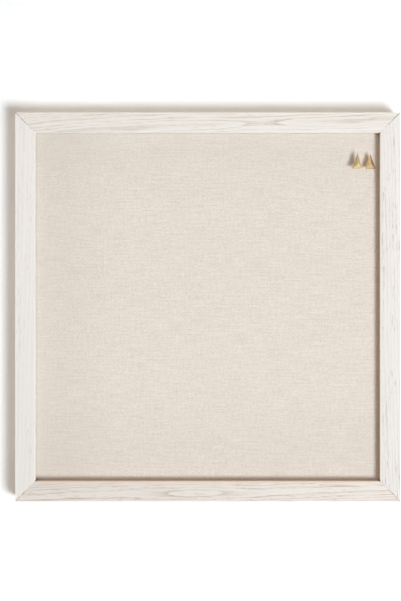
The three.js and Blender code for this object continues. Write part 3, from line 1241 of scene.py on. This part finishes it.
    def staple(self, side: Side, node: str, seat: Seat) -> None:
        """Bend one staple from wire.

        Args:
            side: The side whose hem it holds.
            node: The CAD node that it stands for.
            seat: Where it belongs.
        """
        box = Box.of(node)
        run = side.run
        leg = (box.size.dot(run) - self.wire) / 2
        top = box.high.y - self.wire / 2
        heart = Vector((box.middle.x, 0, box.middle.z))
        back = BACK
        elbow = self.wire_bend
        path = [heart - run * leg + back * box.low.y]
        left = heart - run * (leg - elbow) + back * (top - elbow)
        right = heart + run * (leg - elbow) + back * (top - elbow)
        path += arc(left, run * -elbow, back * elbow, 0, 90, 5)
        path += arc(right, back * elbow, run * elbow, 0, 90, 5)
        path.append(heart + run * leg + back * box.low.y)
        section = round_section(self.wire, self.wire, self.wire_corner)
        form = Form()
        form.sweep(path, section, run.cross(back))
        form.piece(node.replace("hem_staple", "staple"), seat, [node])

    def point(self, side: Side, node: str, seat: Seat) -> None:
        """Cut one framer's point from strip, with its free end curled up for a fingernail.

        Args:
            side: The side that it is driven into.
            node: The CAD node that it stands for.
            seat: Where it belongs.
        """
        box = Box.of(node)
        inner, tip = sorted(abs(side.split(end)[1]) for end in (box.low, box.high))
        along, wide = side.split(box.middle)[0], side.split(box.size)[0]
        shoulder = tip - wide / 2
        stops = [inner + self.curl_reach * (i / 10) ** 1.5 for i in range(11)]
        stops += [shoulder, tip - self.point_blunt]
        corner = self.point_corner
        path, widths = [], []
        for out in stops:
            rise = self.curl * (1 - smooth((out - inner) / self.curl_reach)) ** 2
            path.append(side.place(along, box.middle.y + rise, out))
            short = max(corner - (out - inner), 0.0)
            rounded = wide / 2 - corner + math.sqrt(corner**2 - short**2)
            taper = min(1.0, (tip - out) / (tip - shoulder))
            widths.append(rounded / (wide / 2) * max(taper, 0.05))
        section = round_section(wide, box.size.y, self.point_edge, 2)
        form = Form()
        form.sweep(path, section, side.run, widths)
        form.piece(node.replace("framers_point", "point"), seat, [node])


@dataclass
class DRingHanger:
    """A folded strap, a D-shaped ring that swings in its knuckle, and a pan-head screw."""

    hand: str
    sheet: float = 0.4 * MM
    sheet_edge: float = 0.1 * MM
    near_flat: float = -2.0 * MM
    far_flat: float = -4.6 * MM
    far_pull: float = 3.4 * MM
    layer_gap: float = 0.02 * MM
    wire: float = 2 * MM
    play: float = 0.2 * MM
    corner: float = 3.5 * MM
    ring_corner: float = 1.5 * MM
    seam: float = 0.4 * MM
    head: float = 6.2 * MM
    head_rise: float = 1.9 * MM
    head_rim: float = 0.6 * MM
    head_edge: float = 0.15 * MM
    shank: float = 2.9 * MM
    tip: float = 3 * MM
    slot_long: float = 3.6 * MM
    slot_wide: float = 0.75 * MM
    slot_sink: float = 1.15 * MM

    def build(self, steel: bpy.types.Material) -> None:
        """Make the three pieces.

        Args:
            steel: Their finish.
        """
        self.build_strap(Seat("board", "zinc_steel", steel))
        self.build_ring(Seat(f"ring_{self.hand}", "zinc_steel", steel))
        self.build_screw(Seat("board", "zinc_steel", steel))

    @property
    def pivot(self) -> Vector:
        """The middle of the ring's straight side."""
        ring = Box.of(f"hanger_ring_{self.hand}")
        return Vector((ring.middle.x, ring.middle.y, ring.high.z - self.wire / 2))

    def build_strap(self, seat: Seat) -> None:
        """Fold the strap round the ring's straight side.

        Args:
            seat: Where it belongs.
        """
        node = f"hanger_strap_{self.hand}"
        box, pivot = Box.of(node), self.pivot
        near = box.low.y + self.sheet / 2
        far = near + self.sheet + self.layer_gap
        knuckle = self.wire / 2 + self.play + self.sheet / 2
        back, up = BACK, UP

        def at(depth: float, height: float) -> Vector:
            """Give a point of the strap's middle plane at a depth and a height above the pivot."""
            return Vector((pivot.x, depth, pivot.z + height))

        foot = box.low.z - pivot.z
        rise = [self.corner * (1 - math.cos(math.radians(15 * i))) for i in range(7)]
        loop = arc(pivot, back * -knuckle, up * knuckle, 25, 240, 26)
        start, end = at(near, self.near_flat), at(far, self.far_flat)
        path = [at(near, foot + step) for step in rise] + [start]
        path += bend(start, up * 2 * MM, loop[0], (loop[1] - loop[0]).normalized() * 1.6 * MM, 5)
        path += loop
        leave = (loop[-1] - loop[-2]).normalized() * self.far_pull
        path += bend(loop[-1], leave, end, up * -self.far_pull, 8)
        path += [end] + [at(far, foot + step) for step in reversed(rise)]
        wide = box.size.x
        widths = []
        for point in path:
            short = max(self.corner - (point.z - box.low.z), 0.0)
            rounded = wide / 2 - self.corner + math.sqrt(max(self.corner**2 - short**2, 0.0))
            widths.append(rounded / (wide / 2))
        form = Form()
        form.sweep(path, round_section(wide, self.sheet, self.sheet_edge, 2), RIGHT, widths)
        form.piece(f"strap_{self.hand}", seat, [node])

    def build_ring(self, seat: Seat) -> None:
        """Bend the ring, whose ends meet inside the knuckle.

        Args:
            seat: Where it belongs.
        """
        node = f"hanger_ring_{self.hand}"
        box, pivot = Box.of(node), self.pivot
        half = (box.size.x - self.wire) / 2
        drop = box.size.z - self.wire
        right, up = RIGHT, UP
        turn = self.ring_corner
        path = [pivot + right * (self.seam / 2), pivot + right * (self.seam / 2 + 0.5 * MM)]
        path += arc(pivot + right * (half - turn) - up * turn, up * turn, right * turn, 0, 90, 8)
        path += arc(pivot - up * (drop - half), right * half, up * -half, 0, 180, 40)
        path += arc(pivot - right * (half - turn) - up * turn, right * -turn, up * turn, 0, 90, 8)
        path += [pivot - right * (self.seam / 2 + 0.5 * MM), pivot - right * (self.seam / 2)]
        radius = self.wire / 2
        angles = [math.tau * i / 20 for i in range(20)]
        circle = [(radius * math.cos(a), radius * math.sin(a)) for a in angles]
        form = Form()
        form.sweep(path, circle, BACK)
        form.piece(f"ring_{self.hand}", seat, [node], sharp=50)

    def build_screw(self, seat: Seat) -> None:
        """Turn the screw and sink the cross in its head.

        Args:
            seat: Where it belongs.
        """
        node = f"hanger_screw_{self.hand}"
        box = Box.of(node)
        foot = Vector((box.middle.x, box.high.y - self.head_rise, box.middle.z))
        length = foot.y - box.low.y
        radius = self.head / 2
        steps = [math.radians(10 * i) for i in range(10)]
        rise = self.head_rise - self.head_rim
        dome = [(radius * math.cos(a), self.head_rim + rise * math.sin(a)) for a in steps]
        profile = [(0.0, -length), (self.shank / 2, self.tip - length), (self.shank / 2, 0.0)]
        profile += [(radius - self.head_edge, 0.0), (radius, self.head_edge), *dome]
        form = Form()
        form.turn(profile, 40, foot)
        screw = form.piece(f"screw_{self.hand}", seat, [node], sharp=40)
        top = foot + Vector((0, self.head_rise, 0))
        for name, lengths in (("level", (1, 0)), ("upright", (0, 1))):
            self.sink_slot(screw, f"slot_{name}_{self.hand}", top, lengths)

    def sink_slot(
        self, screw: bpy.types.Object, name: str, top: Vector, lengths: tuple[int, int]
    ) -> None:
        """Cut one tapered slot of the cross.

        Args:
            screw: The screw.
            name: The name of the cutter.
            top: The top of the head.
            lengths: Which way the slot is long, along X and along Z.
        """
        form = Form()
        rings = []
        for level, taper in ((-self.slot_sink, 0.6), (self.slot_sink, 1.25)):
            half_x = (self.slot_long if lengths[0] else self.slot_wide) / 2 * taper
            half_z = (self.slot_long if lengths[1] else self.slot_wide) / 2 * taper
            signs = [(1, 1), (-1, 1), (-1, -1), (1, -1)]
            rings.append([top + Vector((i * half_x, level, j * half_z)) for i, j in signs])
        form.loft(rings)
        bmesh.ops.recalc_face_normals(form.mesh, faces=form.mesh.faces)
        data = bpy.data.meshes.new(name)
        form.mesh.to_mesh(data)
        form.mesh.free()
        cutter = add_object(name, data)
        cut = screw.modifiers.new(name, "BOOLEAN")
        cut.object = cutter
        cut.solver = "EXACT"
        shaped = screw.evaluated_get(bpy.context.evaluated_depsgraph_get())
        screw.data = bpy.data.meshes.new_from_object(shaped)
        screw.modifiers.clear()
        bpy.data.objects.remove(cutter)
        screw.data.shade_smooth()
        screw.data.set_sharp_from_angle(angle=math.radians(40))


@dataclass
class Bumper:
    """A round rubber foot that keeps the frame's lower corner off the wall."""

    hand: str
    edge: float = 1.3 * MM
    flange: float = 0.5 * MM
    step: float = 0.35 * MM
    dish: float = 0.3 * MM
    sides: int = 48

    def build(self, rubber: bpy.types.Material) -> None:
        """Turn the bumper.

        Args:
            rubber: Its finish.
        """
        node = f"bumper_{self.hand}"
        box = Box.of(node)
        radius, rise = box.size.x / 2, box.size.y
        body = radius - self.step
        steps = [math.radians(15 * i) for i in range(7)]
        crown = [
            (body - self.edge * (1 - math.cos(a)), rise - self.edge * (1 - math.sin(a))) for a in steps
        ]
        profile = [(0.0, 0.0), (radius - 0.1 * MM, 0.0), (radius, 0.1 * MM), (radius, self.flange)]
        profile += [(radius - 0.12 * MM, self.flange + 0.12 * MM), (body, self.flange + 0.2 * MM)]
        profile += crown
        profile += [(body - 1.9 * MM, rise - self.dish / 3), (body - 3.0 * MM, rise - self.dish)]
        profile += [(0.0, rise - self.dish)]
        form = Form()
        form.turn(profile, self.sides, Vector((box.middle.x, box.low.y, box.middle.z)))
        form.piece(f"bumper_pad_{self.hand}", Seat("board", "rubber", rubber), [node], sharp=50)


@dataclass
class PushPin:
    """A push pin: a three-sided brass pyramid on a boss, and a steel needle.

    Each head was cast a little differently, so its corners and its peak are given one by one, in
    millimetres right of the needle and above it.
    """

    hand: str
    plate: Plate
    tip: Spot
    low_left: Spot
    low_right: Spot
    peak: Spot
    rim: float = 0.8 * MM
    boss: float = 2.5 * MM
    boss_radius: float = 2 * MM
    ease: float = 0.45 * MM
    lip: float = 0.3 * MM
    needle_taper: float = 4 * MM

    def build(self, needle: bpy.types.Material) -> None:
        """Make the head and the needle.

        Args:
            needle: The needle's finish.
        """
        body = f"pin_{self.hand}"
        self.build_head(Seat(body, "brass", self.plate.material()))
        self.build_needle(Seat(body, "zinc_steel", needle))

    def build_head(self, seat: Seat) -> None:
        """Cast the head.

        Args:
            seat: Where it belongs.
        """
        node = f"pin_head_{self.hand}"
        box = Box.of(node)
        back = box.high.y - self.boss
        axis = Box.of(f"pin_needle_{self.hand}").middle
        form = Form()

        def corner(spot: Spot, depth: float) -> bmesh.types.BMVert:
            """Set a corner of the head."""
            return form.mesh.verts.new((axis.x + spot[0] * MM, depth, axis.z + spot[1] * MM))

        base = (self.tip, self.low_left, self.low_right)
        rings = [[corner(spot, depth) for spot in base] for depth in (back, back - self.rim)]
        peak = corner(self.peak, box.low.y)
        form.mesh.faces.new(rings[0])
        for i in range(3):
            j = (i + 1) % 3
            form.mesh.faces.new((rings[0][i], rings[0][j], rings[1][j], rings[1][i]))
            form.mesh.faces.new((rings[1][i], rings[1][j], peak))
        bmesh.ops.recalc_face_normals(form.mesh, faces=form.mesh.faces)
        bmesh.ops.bevel(
            form.mesh, geom=form.mesh.edges[:], offset=self.ease, segments=3, profile=0.5,
            affect="EDGES", clamp_overlap=True,
        )
        lip = self.lip
        profile = [(0.0, -0.1 * MM), (self.boss_radius + lip, -0.1 * MM), (self.boss_radius + lip, lip)]
        profile += [(self.boss_radius, 2 * lip), (self.boss_radius, self.boss - lip)]
        profile += [(self.boss_radius - lip, self.boss), (0.0, self.boss)]
        form.turn(profile, 32, Vector((axis.x, back, axis.z)))
        form.piece(f"pyramid_{self.hand}", seat, [node], sharp=30)

    def build_needle(self, seat: Seat) -> None:
        """Draw the needle.

        Args:
            seat: Where it belongs.
        """
        node = f"pin_needle_{self.hand}"
        box = Box.of(node)
        radius, length = box.size.x / 2, box.size.y
        steps = (0, 0.25, 0.5, 0.75)
        taper = [(radius * (1 - t) ** 0.8, length - self.needle_taper * (1 - t)) for t in steps]
        profile = [(0.0, 0.0), (radius, 0.0), *taper, (0.0, length)]
        form = Form()
        form.turn(profile, 24, Vector((box.middle.x, box.low.y, box.middle.z)))
        form.piece(f"needle_{self.hand}", seat, [node], sharp=50)


@dataclass
class Studio:
    """The white wall, the pale floor, the lamps and the camera."""

    picture: tuple[int, int] = (401, 601)
    board_left: float = 15.15
    board_right: float = 400.33
    board_row: float = 306.9
    distance: float = 2.4
    sensor: float = 36.0
    wall_gap: float = 8.5 * MM
    floor_level: float = -0.62
    reach: float = 8.0
    wall_glow: Colour = (0.048, 0.062, 0.066)
    fill: Colour = (0.361, 0.306, 0.276)
    fill_tilt: float = 0.45
    room_dim: Colour = (0.575, 0.515, 0.455)
    room_bright: Colour = (0.94, 0.97, 1.02)
    room_span: tuple[float, float] = (-0.45, 0.9)
    key_towards: tuple[float, float, float] = (0.47, -1.0, -0.38)
    key_distance: float = 10.0
    key_size: float = 3.6
    rear_towards: tuple[float, float, float] = (-0.5, 1.0, 0.6)
    fade: Spot = (0.5, 1.2)

    @property
    def key(self) -> Colour:
        """The light that the fill leaves for the key, so that the two together show white as white."""
        return tuple(1 - part for part in self.fill)

    def build(self) -> None:
        """Set the stage, the light and the camera."""
        bpy.context.scene.view_settings.view_transform = "Standard"
        self.build_camera()
        self.build_world()
        self.build_stage()
        self.lamp("key_light", self.key_towards, self.key)
        self.lamp("rear_light", self.rear_towards, self.key)

    def build_camera(self) -> None:
        """Stand the camera square to the board, so that the board fills the picture as it should."""
        wide = CAD_BOX[1].x - CAD_BOX[0].x
        per_pixel = wide / (self.board_right - self.board_left)
        front = Box.of("frame_top_rail").low.y
        data = bpy.data.cameras.new("camera")
        data.sensor_width = self.sensor
        data.lens = self.sensor * self.distance / (max(self.picture) * per_pixel)
        camera = add_object("camera", data)
        column = (self.board_left + self.board_right) / 2
        aside = (self.picture[0] / 2 - column) * per_pixel
        above = (self.board_row - self.picture[1] / 2) * per_pixel
        camera.location = (aside, front - self.distance, above)
        camera.rotation_euler = (math.pi / 2, 0, 0)
        bpy.context.scene.camera = camera

    def build_world(self) -> None:
        """Fill the room with soft warm light, most of it from above, and show white to the camera.

        A gloss sees the room itself: bright on the key light's side and dim on the other.
        """
        world = bpy.data.worlds.new("studio_fill")
        bpy.context.scene.world = world
        shader = Shader.on(world)
        ways = ("Is Camera Ray", "Is Glossy Ray", "Is Transmission Ray")
        camera, gloss, glass = (shader.node("ShaderNodeLightPath", output=way) for way in ways)
        look = shader.node("ShaderNodeTexCoord", output="Generated")
        towards = Vector(self.key_towards).normalized()
        sockets = {0: look, 1: tuple(towards)}
        lean = shader.node("ShaderNodeVectorMath", {"operation": "DOT_PRODUCT"}, sockets, "Value")
        room = shader.mix(self.room_dim, self.room_bright, lean.between(*self.room_span))
        height = shader.node("ShaderNodeSeparateXYZ", sockets={0: look}, output=2)
        below = [part * (1 - self.fill_tilt) for part in self.fill]
        above = [part * (1 + self.fill_tilt) for part in self.fill]
        lit = shader.mix(shader.mix(below, above, height.between(-1, 1)), room, gloss)
        shown = shader.mix(lit, WHITE, camera.most(glass))
        glow = shader.node("ShaderNodeBackground", sockets={"Color": shown})
        shader.close(glow, "ShaderNodeOutputWorld")

    def backdrop(self, name: str) -> bpy.types.Material:
        """Make a white surface that keeps the board's shadow and can't be seen from behind.

        Args:
            name: The material's name.

        Returns:
            The material.
        """
        made = bpy.data.materials.new(name)
        shader = Shader.on(made)
        point = shader.node("ShaderNodeTexCoord", output="Object")
        away = shader.node("ShaderNodeVectorMath", {"operation": "LENGTH"}, {0: point}, "Value")
        paint = shader.node("ShaderNodeBsdfDiffuse", sockets={"Color": WHITE})
        seen = shader.node("ShaderNodeLightPath", output="Is Camera Ray")
        light = shader.mix(BLACK, self.wall_glow, seen)
        glow = shader.node("ShaderNodeEmission", sockets={"Color": light})
        near = shader.node("ShaderNodeAddShader", sockets={0: paint, 1: glow})
        far = shader.node("ShaderNodeEmission", sockets={"Color": WHITE})
        faded = {0: away.between(*self.fade), 1: near, 2: far}
        front = shader.node("ShaderNodeMixShader", sockets=faded)
        behind = shader.node("ShaderNodeNewGeometry", output="Backfacing")
        clear = shader.node("ShaderNodeBsdfTransparent")
        shader.close(shader.node("ShaderNodeMixShader", sockets={0: behind, 1: front, 2: clear}))
        return made

    def build_stage(self) -> None:
        """Put up the wall behind the board and lay the floor below it."""
        r, low = self.reach, self.floor_level
        back = self.wall_gap
        sheets = {
            "white_wall": [(-r, back, -r), (r, back, -r), (r, back, r), (-r, back, r)],
            "pale_floor": [(-r, -r, low), (r, -r, low), (r, r, low), (-r, r, low)],
        }
        for name, corners in sheets.items():
            data = bpy.data.meshes.new(name)
            data.from_pydata(corners, [], [(0, 1, 2, 3)])
            data.materials.append(self.backdrop(f"{name}_paint"))
            sheet = add_object(name, data)
            sheet.visible_diffuse = False
            sheet.visible_shadow = False
            sheet.visible_glossy = False

    def lamp(self, name: str, towards: tuple[float, float, float], light: Colour) -> None:
        """Hang a round soft lamp that faces the board.

        Args:
            name: The lamp's name.
            towards: Its direction from the board.
            light: How bright a white surface square to Y looks under it.
        """
        way = Vector(towards).normalized()
        data = bpy.data.lights.new(name, "AREA")
        data.shape = "DISK"
        data.size = self.key_size
        level = max(light)
        data.color = [part / level for part in light]
        data.energy = level * math.pi**2 * self.key_distance**2 / abs(way.y)
        lamp = add_object(name, data)
        lamp.location = way * self.key_distance
        lamp.rotation_mode = "QUATERNION"
        lamp.rotation_quaternion = way.to_track_quat("Z", "Y")
        lamp.visible_camera = False


def main() -> None:
    """Build the board, piece by piece, and the studio round it."""
    logging.basicConfig(level=logging.INFO, format="%(name)s: %(message)s")
    zinc = Plate.ZINC.material()
    bright = Plate.BRIGHT.material()
    Studio().build()
    OakFrame().build(zinc)
    panel = LinenPanel()
    panel.build_linen(NaturalLinen().material())
    panel.build_board(GranulatedCork().material(), Hardboard().material())
    panel.build_fasteners(zinc)
    rubber = Rubber().material()
    for hand in ("left", "right"):
        DRingHanger(hand).build(zinc)
        Bumper(hand).build(rubber)
    pins = (
        PushPin("left", Plate.PALE_BRASS, (0.8, 12.85), (-6.1, -6.4), (5.95, -6.0), peak=(1.0, -1.2)),
        PushPin("right", Plate.DEEP_BRASS, (-0.2, 12.1), (-6.4, -6.4), (6.6, -6.3), peak=(0.5, -1.5)),
    )
    for pin in pins:
        pin.build(bright)


if __name__ == "__main__":
    main()
